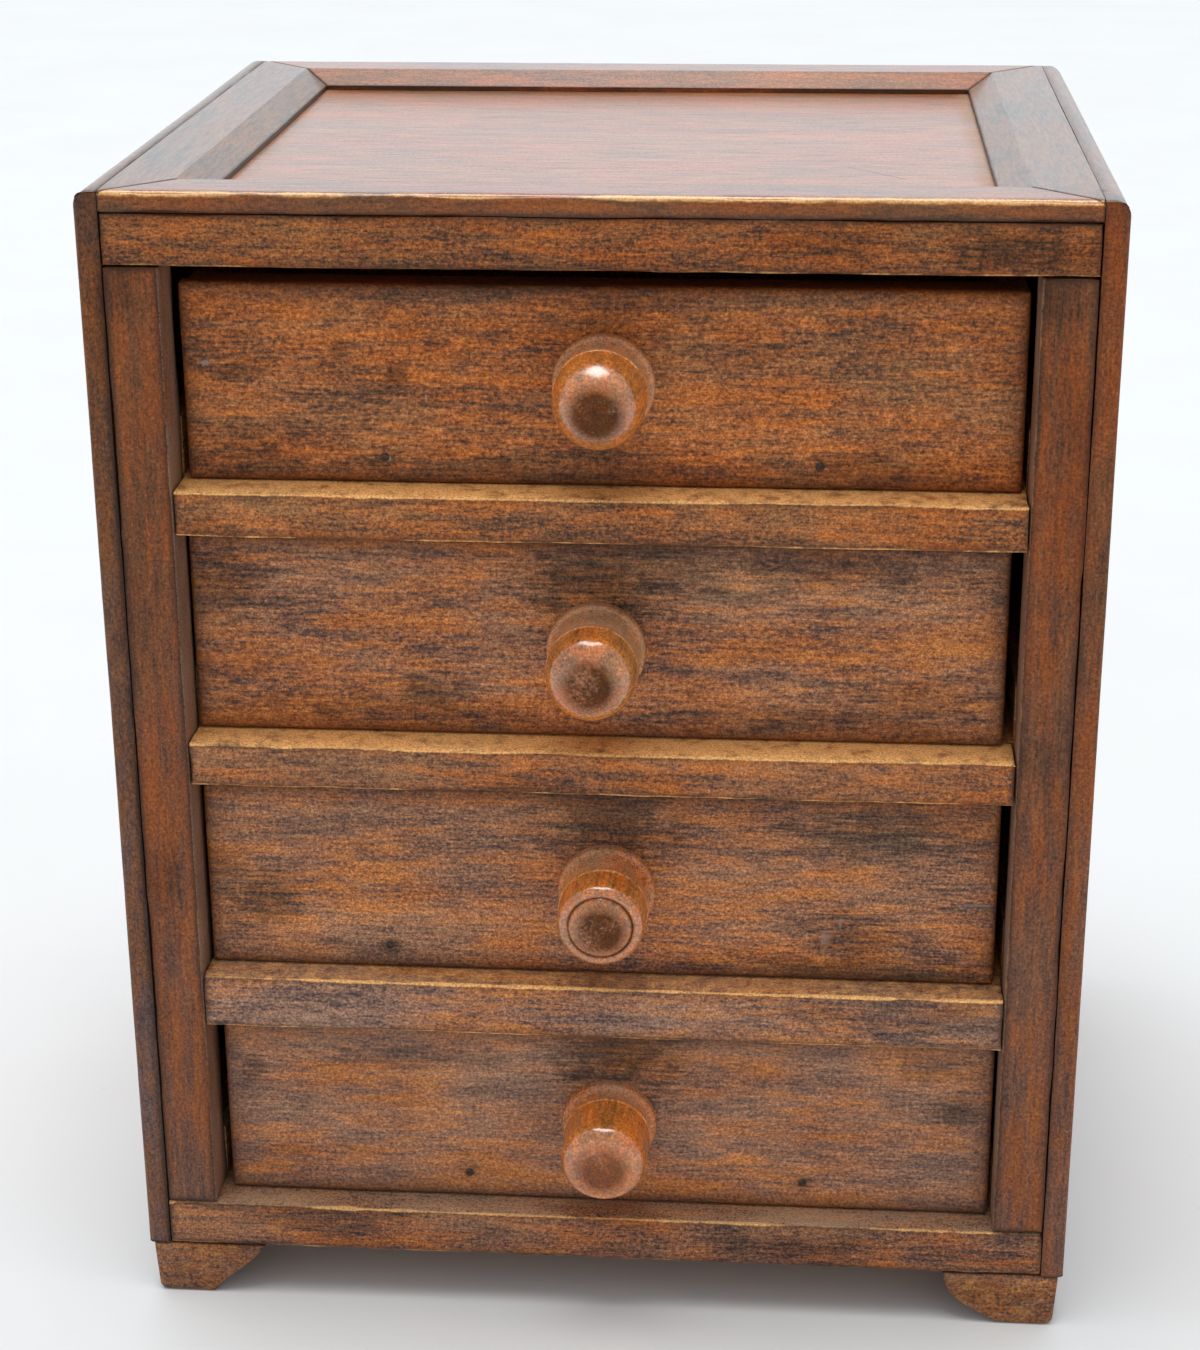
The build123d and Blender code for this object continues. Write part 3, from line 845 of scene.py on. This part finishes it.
def mitred_rail(node, outer, along, across, out, look, seed):
    """A rail along its path, rounded on the chest's box: dirt in the mitres, dirt and painted shade under the lip."""
    low, high = node_box(node)
    on_top = node.startswith("top_frame")
    length = (carcass_high - carcass_low) @ np.abs(along)
    if on_top and along[0]:
        length = high[0] - low[0]
    profile = rail_profile(abs((high - low) @ out))
    points, to_end = rail_grid(length, profile, outer, along, across, out)
    quads, caps = loop_faces(*to_end.shape, np.cross(along, across) @ out < 0)
    points = soften(points.reshape(-1, 3), carcass_low, carcass_high, handled_edges)
    normals = vertex_normals(points, quads)
    w, t = np.tile(profile, (len(to_end), 1)).T
    rubbed = nearness(points, carcass_low, carcass_high, top_rubs if on_top else side_rubs, handled_reach)
    crest = bell(w - rail_width + bevel_run, rub_reach) * (t > lip)
    seam = np.exp(-(w**2 + t**2) / joint_reach**2) * (right_seam if node.startswith("right") else 1.0)
    face = np.clip(-normals[:, 1], 0, 1) * (node == "top_frame_front")
    # Under the bevel's lip: dirt, and painted shade on the lip's face and the gap above the panel.
    lip_face = np.clip((w - rail_width + lip_dirt_and_shade) / lip_dirt_and_shade_fade, 0, 1)
    grime = np.maximum(lip_face, mitre_dirt * bell(to_end.reshape(-1), mitre_dirt_reach))
    for corner_x, strength in corner_dirt:
        away = np.linalg.norm(points - (corner_x, carcass_low[1], carcass_high[2]), axis=1)
        grime = np.maximum(grime, strength * bell(away, corner_reach))
    marks = {
        "rubbed": np.maximum(rubbed, crest_rub * crest) * broken(points, seed + 7),
        "grime": np.maximum(grime, np.maximum(seam, face_grime * face)),
        "dusty": np.zeros(len(points)),
        "faded": greyed(points) * (weathered_fading if look == "deep_rail" else 1.0),
        "level": np.clip(normals[:, 2], 0, 1),
    }
    points = aged(points, quads, np.maximum(rubbed, joint_wear * seam * broken(points, seed + 8)), seed)
    faces = quads.tolist() + caps
    return add_piece(f"{node}_worn", points, faces, "carcass", [node], "frame_wood", finishes[look], **marks)


_, mid_y, mid_z = (carcass_low + carcass_high) / 2
low_y, high_y, low_z, high_z = carcass_low[1], carcass_high[1], carcass_low[2], carcass_high[2]
under_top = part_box("top_frame_front")[0].z
inner_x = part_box("top_frame_front")[1].x
x_axis, y_axis, z_axis = np.eye(3)
rails = [
    mitred_rail("top_frame_front", (0, low_y, under_top), x_axis, y_axis, z_axis, "top_rail", 200),
    mitred_rail("top_frame_back", (0, high_y, under_top), x_axis, -y_axis, z_axis, "top_rail", 210),
    mitred_rail("top_frame_left", (-inner_x, mid_y, under_top), y_axis, x_axis, z_axis, "deep_rail", 220),
    mitred_rail("top_frame_right", (inner_x, mid_y, under_top), y_axis, -x_axis, z_axis, "deep_rail", 230),
]
for sign, side, strip in ((-1, "left", "edge"), (1, "right", "stile")):
    x, out = sign * inner_x, sign * x_axis
    rails += [
        mitred_rail(f"{side}_frame_front", (x, low_y, mid_z), z_axis, y_axis, out, strip, 240),
        mitred_rail(f"{side}_frame_back", (x, high_y, mid_z), z_axis, -y_axis, out, "stile", 250),
        mitred_rail(f"{side}_frame_top", (x, mid_y, high_z), y_axis, -z_axis, out, "deep_rail", 260),
        mitred_rail(f"{side}_frame_bottom", (x, mid_y, low_z), y_axis, z_axis, out, "deep_rail", 270),
    ]
print("mitred rails:", len(rails), "with", sum(len(r.data.polygons) for r in rails), "faces")

# %% [markdown]
# ## Drawer fronts
# Each front is a thick board with all its front edges rounded, and a rabbet at each end for the drawer's sides. The
# rabbet is cut in the grid itself: behind the lap, the points near the ends are moved forward to the lap line. The rim
# of each front is dark, from handling and as painted shade where the frame shades the sunk front, so the grime mark is
# high there and fades over a few millimetres.

# %% Drawer fronts
lap = 3.0 * mm
rabbet = 4.5 * mm
rabbet_step = 0.01 * mm
back_play = 0.08 * mm
drawer_radius = 1.3 * mm
end_radius = 1.0 * mm
drawer_edges = {
    **dict.fromkeys((top_edge, drop_edge, *both("front")), drawer_radius),
    **dict.fromkeys((*both("top"), *both("bottom")), end_radius),
}
drawer_rubs = {top_edge: 0.35, drop_edge: 0.3}
drawer_rub_reach = 1.5 * mm
rim_grime_and_shade = 0.75
rim_reach = 3 * mm
drawer_fading = {1: 0.1, 2: 0.55, 3: 0.65, 4: 0.9}


def drawer_front(number):
    """A board with rounded front edges whose back is stepped forward to the lap line at both ends."""
    node = f"drawer_{number}_front"
    low, high = node_box(node)
    cuts = (low[0] + rabbet - rabbet_step, low[0] + rabbet, high[0] - rabbet, high[0] - rabbet + rabbet_step)
    points, quads = box_grids(low, high, cuts)
    half_step = rabbet_step / 2
    at_ends = (points[:, 0] < low[0] + rabbet - half_step) | (points[:, 0] > high[0] - rabbet + half_step)
    share = (points[:, 1] - low[1]) / (high[1] - low[1])
    points[:, 1] = low[1] + share * np.where(at_ends, lap - rabbet_step, high[1] - low[1] - back_play)
    points = soften(points, low, high, drawer_edges)
    rim = np.minimum(np.abs(points - low), np.abs(points - high))[:, (0, 2)].min(axis=1)
    marks = {
        "rubbed": nearness(points, low, high, drawer_rubs, drawer_rub_reach),
        # Dark rim: handling dirt, and painted shade where the frame shades the sunk front.
        "grime": rim_grime_and_shade * bell(rim, rim_reach),
        "dusty": np.zeros(len(points)),
        "faded": np.full(len(points), drawer_fading[number]),
    }
    points = aged(points, quads, nearness(points, low, high, drawer_rubs, chip_reach), 300 + 10 * number)
    look = finishes["low_drawer" if number == 4 else "drawer"]
    body, slot = f"drawer_{number}", "drawer_front_wood"
    return add_piece(f"{node}_worn", points, quads.tolist(), body, [node], slot, look, **marks)


fronts = [drawer_front(number) for number in drawer_fading]
print("drawer fronts:", [len(f.data.polygons) for f in fronts])

# %% [markdown]
# ## Nails
# A few iron nails hold each drawer's bottom board to its front. Only their heads show, flush with the wood and rusty. A
# head is a low dome: a short profile carried round a circle and sunk into the front so that only its crown is proud.

# %% Nail heads
nail_radius = 0.95 * mm
nail_crown = 0.22 * mm
nail_sunk = 0.5 * mm
nail_inset = 0.12 * mm
nail_steps = 28
nail_places = {
    "drawer_1_nail_left": (-42.6, 190.9),
    "drawer_1_nail_right": (43.5, 190.4),
    "drawer_3_nail_left": (-44.9, 83.8),
    "drawer_4_nail_left": (-29.1, 29.0),
    "drawer_4_nail_right": (43.4, 29.4),
}


def lathe(distance, radius, steps, centre, face_y, oval=0.0, phase=0.0, square=()):
    """A profile carried round an axis along y: x = r cos, z = r sin, the first and last points being the poles.

    Rings listed as square are r wide from the axis to the middle of each side: r / max(|cos|, |sin|).
    """
    angle = np.arange(steps) * 2 * np.pi / steps
    r = radius[1:-1, None] * (1 - oval * (1 + np.sin(2 * angle + phase)))[None, :]
    r[list(square)] = radius[1:-1][list(square), None] / np.maximum(np.abs(np.cos(angle)), np.abs(np.sin(angle)))
    y = np.broadcast_to(face_y - distance[1:-1, None], r.shape)
    rings = np.stack((centre[0] + r * np.cos(angle), y, centre[1] + r * np.sin(angle)), axis=-1).reshape(-1, 3)
    poles = [(centre[0], face_y - distance[end], centre[1]) for end in (0, -1)]
    quads, _ = loop_faces(*r.shape)
    first = np.arange(steps)
    after = np.roll(first, -1)
    last = r.size - steps
    back_fan = np.stack((np.full(steps, r.size), after, first), axis=1)
    tip_fan = np.stack((np.full(steps, r.size + 1), last + first, last + after), axis=1)
    return np.concatenate((rings, poles)), quads.tolist() + back_fan.tolist() + tip_fan.tolist()


iron = Finish(bpy.data.materials.new("nail_iron"))
rust = iron.noise(iron.node("ShaderNodeTexCoord", out="Object"), (1400, 1400, 1400), 4, 0.65)
crust = iron.fade(rust, 0.42, 0.62)
rust_colour = iron.mix(crust, screen(52, 46, 44), screen(96, 62, 44))
iron_bump = iron.node("ShaderNodeBump", None, {"Strength": 0.5, "Distance": 0.1 * mm, "Height": rust})
iron.set(Base_Color=rust_colour, Roughness=0.45 + 0.35 * crust, Metallic=0.7 - 0.6 * crust, Normal=iron_bump)
crown = np.linspace(0, np.pi / 2, 7)
nail_distance = np.concatenate(([-nail_sunk, -nail_sunk, 0], nail_crown * np.sin(crown)))
nail_profile = np.concatenate(([0, nail_radius, nail_radius], nail_radius * np.cos(crown)))
nails = []
for name, (x, z) in nail_places.items():
    drawer = name[: len("drawer_1")]
    face_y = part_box(f"{drawer}_front")[0].y + nail_inset
    points, faces = lathe(nail_distance, nail_profile, nail_steps, (x * mm, z * mm), face_y)
    nails.append(add_piece(name, points, faces, drawer, [], None, iron.owner))
print("nails:", len(nails))

# %% [markdown]
# ## Profile of a knob
# Each knob was turned on a lathe by eye, so the four differ: the first is almost a ball, the second has a round
# shoulder, the third a fine groove round its end and the fourth a longer barrel. All have a domed end. A lathe shape is
# a profile of radius against distance from the drawer's face: collar, hollow neck, ridge, barrel, shoulder and dome.

# %% Knob profiles
collar_radius = 10.2 * mm
collar_thickness = 2.4 * mm
collar_edge = 0.8 * mm
neck_depth = 0.7 * mm
ridge_radius = 9.4 * mm
ridge_drop = 0.18 * mm
ridge_half = 0.35 * mm
tip_radius = 9.0 * mm
tenon_half = 3.5 * mm
groove_width = 0.22 * mm
groove_depth = 0.35 * mm
knob_shapes = {
    1: {"ridge_share": 0.44, "shoulder": 7.0 * mm, "dome": 0.6 * mm, "groove": 0.0},
    2: {"ridge_share": 0.56, "shoulder": 4.2 * mm, "dome": 1.1 * mm, "groove": 0.0},
    3: {"ridge_share": 0.52, "shoulder": 2.0 * mm, "dome": 1.2 * mm, "groove": 6.6 * mm},
    4: {"ridge_share": 0.32, "shoulder": 3.2 * mm, "dome": 0.9 * mm, "groove": 0.0},
}


def knob_profile(reach, deep, ridge_share, shoulder, dome, groove):
    """(distance from the face, radius): tenon, collar, hollow neck, ridge, tapering barrel, shoulder arc, domed end."""
    ridge = reach * ridge_share
    tenon = np.array(((-deep, 0), (-deep, tenon_half), (0, tenon_half), (0, collar_radius)))
    turn = np.linspace(0, np.pi / 2, 7)
    inner_edge = collar_radius - collar_edge
    collar = collar_thickness - collar_edge + collar_edge * np.sin(turn), inner_edge + collar_edge * np.cos(turn)
    share = np.linspace(0.04, 1, 16)
    slope = inner_edge + share * (ridge_radius - collar_radius + collar_edge)
    hollow = neck_depth * np.sin(np.pi * share**0.7)
    neck = collar_thickness + share * (ridge - collar_thickness), slope - hollow
    turn = np.linspace(0, np.pi, 7)[1:]
    bead = ridge + ridge_half * (1 - np.cos(turn)), ridge_radius - ridge_drop * (1 - np.sin(turn))
    start = np.array((ridge + 2 * ridge_half, ridge_radius - ridge_drop))
    end = np.array((reach - dome - shoulder, tip_radius))
    barrel = start + np.linspace(0.08, 1, 8)[:, None] * (end - start)
    turn = np.linspace(0, np.pi / 2, 18)[1:]
    arc = end[0] + shoulder * np.sin(turn), tip_radius - shoulder + shoulder * np.cos(turn)
    flat = (tip_radius - shoulder) * np.linspace(1, 0, 40)[1:]
    rise = dome * (1 - (flat / (tip_radius - shoulder)) ** 2)
    cap = reach - dome + rise - groove_depth * bell(flat - groove, groove_width) * (groove > 0), flat
    collar, neck, bead, arc, cap = (np.stack(part, axis=1) for part in (collar, neck, bead, arc, cap))
    return np.concatenate((tenon, collar, neck, bead, barrel, arc, cap)).T


print("knob shapes:", len(knob_shapes), "with collars", 2 * collar_radius / mm, "mm across")

# %% [markdown]
# ## Turned knobs
# The profile is carried round a circle, which is slightly oval as hand turning leaves it. The collar against the drawer
# and the hollow neck hold dust, and the ridge in front of them is rubbed pale. The middle of each end is dark, partly
# from fingers and partly as a painted reflection of the dark room in front, and the rim round it is polished.

# %% Knobs
around_steps = 96
oval_share = 0.006
tenon_rings = (0, 1)
# The dark middle of each knob's end: finger dirt, and a painted reflection of the dark room in front of it.
dark_end_drop = 0.6 * mm
dark_end_radius = 6.9 * mm
dark_end_fade = 3.0 * mm
knob_dark_end = {1: 1.0, 2: 1.0, 3: 1.0, 4: 0.8}
end_start = 2 * mm
neck_dust = 0.6
neck_fade = 1.2 * mm
ridge_rub = 0.6
ridge_rub_reach = 0.5 * mm
groove_dirt_reach = 0.4 * mm
wax_start = 1 * mm
wax_run = 2 * mm


def knob(number):
    """The lathe profile of one knob, slightly oval from turning by hand, with its marks set by distance and angle."""
    node = f"drawer_{number}_knob"
    low, high = node_box(node)
    face_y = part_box(f"drawer_{number}_front")[0].y
    shape = knob_shapes[number]
    reach = face_y - low[1]
    distance, radius = knob_profile(reach, high[1] - face_y, **shape)
    centre = (low[0] + high[0]) / 2, (low[2] + high[2]) / 2
    points, faces = lathe(distance, radius, around_steps, centre, face_y, oval_share, number, tenon_rings)
    ridge, groove = reach * shape["ridge_share"], shape["groove"]
    across, out, rise = points[:, 0] - centre[0], face_y - points[:, 1], points[:, 2] - centre[1]
    above = np.clip(rise / collar_radius, 0, 1)
    behind = np.clip((ridge - out) / neck_fade, 0, 1)
    # Dark middle of the end, a little below the axis: dirt, and a painted reflection of the dark room in front.
    from_dark_end = np.hypot(across, rise + dark_end_drop)
    on_end = np.clip((dark_end_radius - from_dark_end) / dark_end_fade, 0, 1) * (out > ridge + end_start)
    in_groove = bell(np.hypot(across, rise) - groove, groove_dirt_reach) * (groove > 0) * (out > ridge)
    marks = {
        "rubbed": ridge_rub * bell(out - ridge - ridge_half, ridge_rub_reach),
        "grime": np.maximum(knob_dark_end[number] * on_end, in_groove),
        "dusty": neck_dust * behind * (0.9 + 0.5 * above),
        "polished": 0.25 + 0.75 * np.clip((out - ridge - wax_start) / wax_run, 0, 1),
    }
    look = finishes["bright_knob" if number == 1 else "knob"]
    return add_piece(f"{node}_turned", points, faces, f"drawer_{number}", [node], "knob_wood", look, **marks)


knobs = [knob(number) for number in knob_shapes]
print("knobs:", [len(k.data.polygons) for k in knobs])

# %% [markdown]
# ## Bracket feet
# A foot is a block with a curve sawn on its inner side. Its outline, seen from the front, is a closed loop that is
# carried from the front of the foot to its back, and the loop shrinks a little at both ends to round the sawn edges.
# The right front foot bulges more than the left, as the saw left them.

# %% Feet
foot_sole = 13.0 * mm
foot_round = 1.8 * mm
foot_lean = 0.7 * mm
foot_wave = 0.5 * mm
foot_inset = 0.9 * mm
foot_heart = np.array((0.42, 0.55))
foot_spread = np.array((0.45, 0.5))
foot_seam_reach = 0.6 * mm
foot_edge_reach = 1.2 * mm
sole_dark_reach = 2 * mm
foot_fading = 0.9
foot_bellies = {"foot_front_left": 0.02, "foot_front_right": 0.13, "foot_back_left": 0.08, "foot_back_right": 0.08}


def foot_outline(width, height, belly_share):
    """A closed loop: z = height u, x along the slope plus a belly of sin(pi u), then straight runs round the block."""
    u = np.linspace(0, 1, 26)
    slope = width - foot_sole
    belly = belly_share * np.hypot(slope, height)
    curve_x = foot_sole + slope * u + belly * np.sin(np.pi * u) - foot_wave * np.sin(2 * np.pi * u)
    curve_z = height * u - belly * np.sin(np.pi * u) * (u > 0) * slope / height * 0.5
    curve = np.minimum(curve_x, width), np.maximum(curve_z, 0)
    top = np.linspace(width, 0, 26)[1:], np.full(25, height)
    outer = np.linspace(0, foot_lean, 10)[1:], np.linspace(height, foot_round, 10)[1:]
    turn = np.linspace(np.pi, 1.5 * np.pi, 8)[1:]
    corner = foot_lean + foot_round + foot_round * np.cos(turn), foot_round + foot_round * np.sin(turn)
    sole = np.linspace(corner[0][-1], foot_sole, 8)[1:-1], np.zeros(6)
    return np.concatenate([np.stack(part, axis=1) for part in (curve, top, outer, corner, sole)])


def foot(node, seed):
    """The outline carried from front to back, shrinking at both ends by a quarter circle of the inset."""
    low, high = node_box(node)
    side = 1 if low[0] > 0 else -1
    width, depth, height = high - low
    loop = foot_outline(width, height, foot_bellies[node])
    y = stops(0, depth)
    to_end = np.minimum(y, depth - y)
    shrink = foot_inset - np.sqrt(np.maximum(foot_inset**2 - np.maximum(foot_inset - to_end, 0) ** 2, 0))
    centre = foot_heart * (width, height)
    scale = 1 - shrink[:, None] / (foot_spread * (width, height))[None, :]
    outline = centre + (loop[None] - centre) * scale[:, None, :]
    outer_x = high[0] if side > 0 else low[0]
    depths = np.broadcast_to(low[1] + y[:, None], outline.shape[:2])
    points = np.stack((outer_x - side * outline[..., 0], depths, low[2] + outline[..., 1]), axis=-1).reshape(-1, 3)
    quads, caps = loop_faces(len(y), len(loop), side < 0)
    seam = bell(points[:, 2] - high[2], foot_seam_reach)
    marks = {
        "rubbed": 0.35 * bell(np.repeat(to_end, len(loop)), foot_edge_reach),
        # Darker overall and towards the sole: dirt, and painted shade under the chest.
        "grime": np.maximum(0.8 * seam, 0.5 + 0.3 * bell(points[:, 2] - low[2], sole_dark_reach)),
        "dusty": np.zeros(len(points)),
        "faded": np.full(len(points), foot_fading),
    }
    points = aged(points, quads, 0.3 * seam, seed)
    faces = quads.tolist() + caps
    return add_piece(f"{node}_sawn", points, faces, "carcass", [node], "frame_wood", finishes["rail"], **marks)


feet = [foot(node, 400 + 10 * k) for k, node in enumerate(foot_bellies)]
print("feet:", [len(f.data.polygons) for f in feet])

# %% [markdown]
# ## Inside of the drawers and the carcass
# The parts that only show when a drawer is open were never stained. They keep their CAD shapes, which are plain boards
# and runners, and get a paler, drier wood with the grain along each board.

# %% Unstained wood on the CAD nodes
bare_wood = tones_of((96, 64, 46), (142, 98, 70), (178, 128, 92), (204, 156, 114), (206, 172, 128), (180, 160, 134))
inner = {
    "side": old_wood("drawer_box_wood_deep", "y", bare_wood, shift=(0.3, 0, 0), blotting=0.7, rough=0.66),
    "across": old_wood("drawer_box_wood_across", "x", bare_wood, shift=(0, 0.4, 0), blotting=0.7, rough=0.66),
    "runner": old_wood("inner_wood_deep", "y", bare_wood, shift=(0.1, 0, 0.7), rough=0.7),
    "board": old_wood("inner_wood_across", "x", bare_wood, shift=(0.9, 0, 0.2), rough=0.7),
}
endings = {"_side": "side", "_back": "across", "_bottom": "across", "bottom_board": "board"}
bare_count = 0
for name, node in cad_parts.items():
    if node.hide_render:
        continue
    kind = "runner" if name.startswith("runners") else next(v for k, v in endings.items() if name.endswith(k))
    for place in node.material_slots:
        place.material = inner[kind]
    bare_count += 1
print("CAD nodes with bare wood:", bare_count)

# %% [markdown]
# ## Floor
# The photograph was taken on a pale painted floor. One big sheet stands for it, a little mottled, with a few specks.

# %% Floor
floor_half = 9.0
floor_corners = np.array([(-1, -1, 0), (1, -1, 0), (1, 1, 0), (-1, 1, 0)]) * floor_half
floor_mesh = bpy.data.meshes.new("floor")
floor_mesh.from_pydata(floor_corners.tolist(), [], [(0, 1, 2, 3)])
floor = bpy.data.objects.new("floor", floor_mesh)
bpy.context.scene.collection.objects.link(floor)
paint = Finish(bpy.data.materials.new("floor_paint"))
floor_place = paint.node("ShaderNodeTexCoord", out="Object")
mottle = paint.noise(floor_place, (9, 9, 9), 5, 0.6)
speck = paint.noise(floor_place, (160, 160, 160), 4, 0.7)
pale = paint.mix(paint.fade(mottle, 0.35, 0.7), screen(227, 229, 230), screen(225, 226, 226))
pale = paint.mix(paint.fade(speck, 0.66, 0.78) * 0.3, pale, screen(196, 190, 172))
paint.set(Base_Color=pale, Roughness=0.7 + 0.06 * mottle)
floor_mesh.materials.append(paint.owner)
print("floor:", 2 * floor_half, "m wide")

# %% [markdown]
# ## Light
# The light was wide and soft and came from straight above: the knobs mirror it as one bright patch, and the shadow
# stays close to the chest. One wide lamp hangs far overhead, and a pale sky, a little brighter behind the chest than
# in front of it, fills the shade.

# %% Lamp and sky
lamp_place = Matrix.Translation((-0.6, -0.6, 12.0))
lamp_aim = Matrix.Translation((0, 0, 0.1))
light = bpy.data.lights.new("overhead_lamp", "AREA")
light.shape = "RECTANGLE"
light.size = 8.0
light.size_y = 7.2
light.energy = 920
light.color = (1.0, 0.99, 0.97)
overhead = bpy.data.objects.new("overhead_lamp", light)
lamp_direction = lamp_aim.translation - lamp_place.translation
overhead.matrix_world = lamp_place @ lamp_direction.to_track_quat("-Z", "Y").to_matrix().to_4x4()
bpy.context.scene.collection.objects.link(overhead)

sky = Finish(bpy.data.worlds.new("pale_sky"), "Background")
backward = sky.dot(sky.node("ShaderNodeTexCoord", out="Generated"), (-0.2, 0.9, 0.1))
front_sky = (0.58, 0.595, 0.61, 1.0)
back_sky = (0.88, 0.945, 1.01, 1.0)
sky.set(Color=sky.mix(sky.fade(backward, -0.2, 0.8), front_sky, back_sky))
bpy.context.scene.world = sky.owner
bpy.context.scene.view_settings.view_transform = "Standard"
print("light:", overhead.name, "and", sky.owner.name)
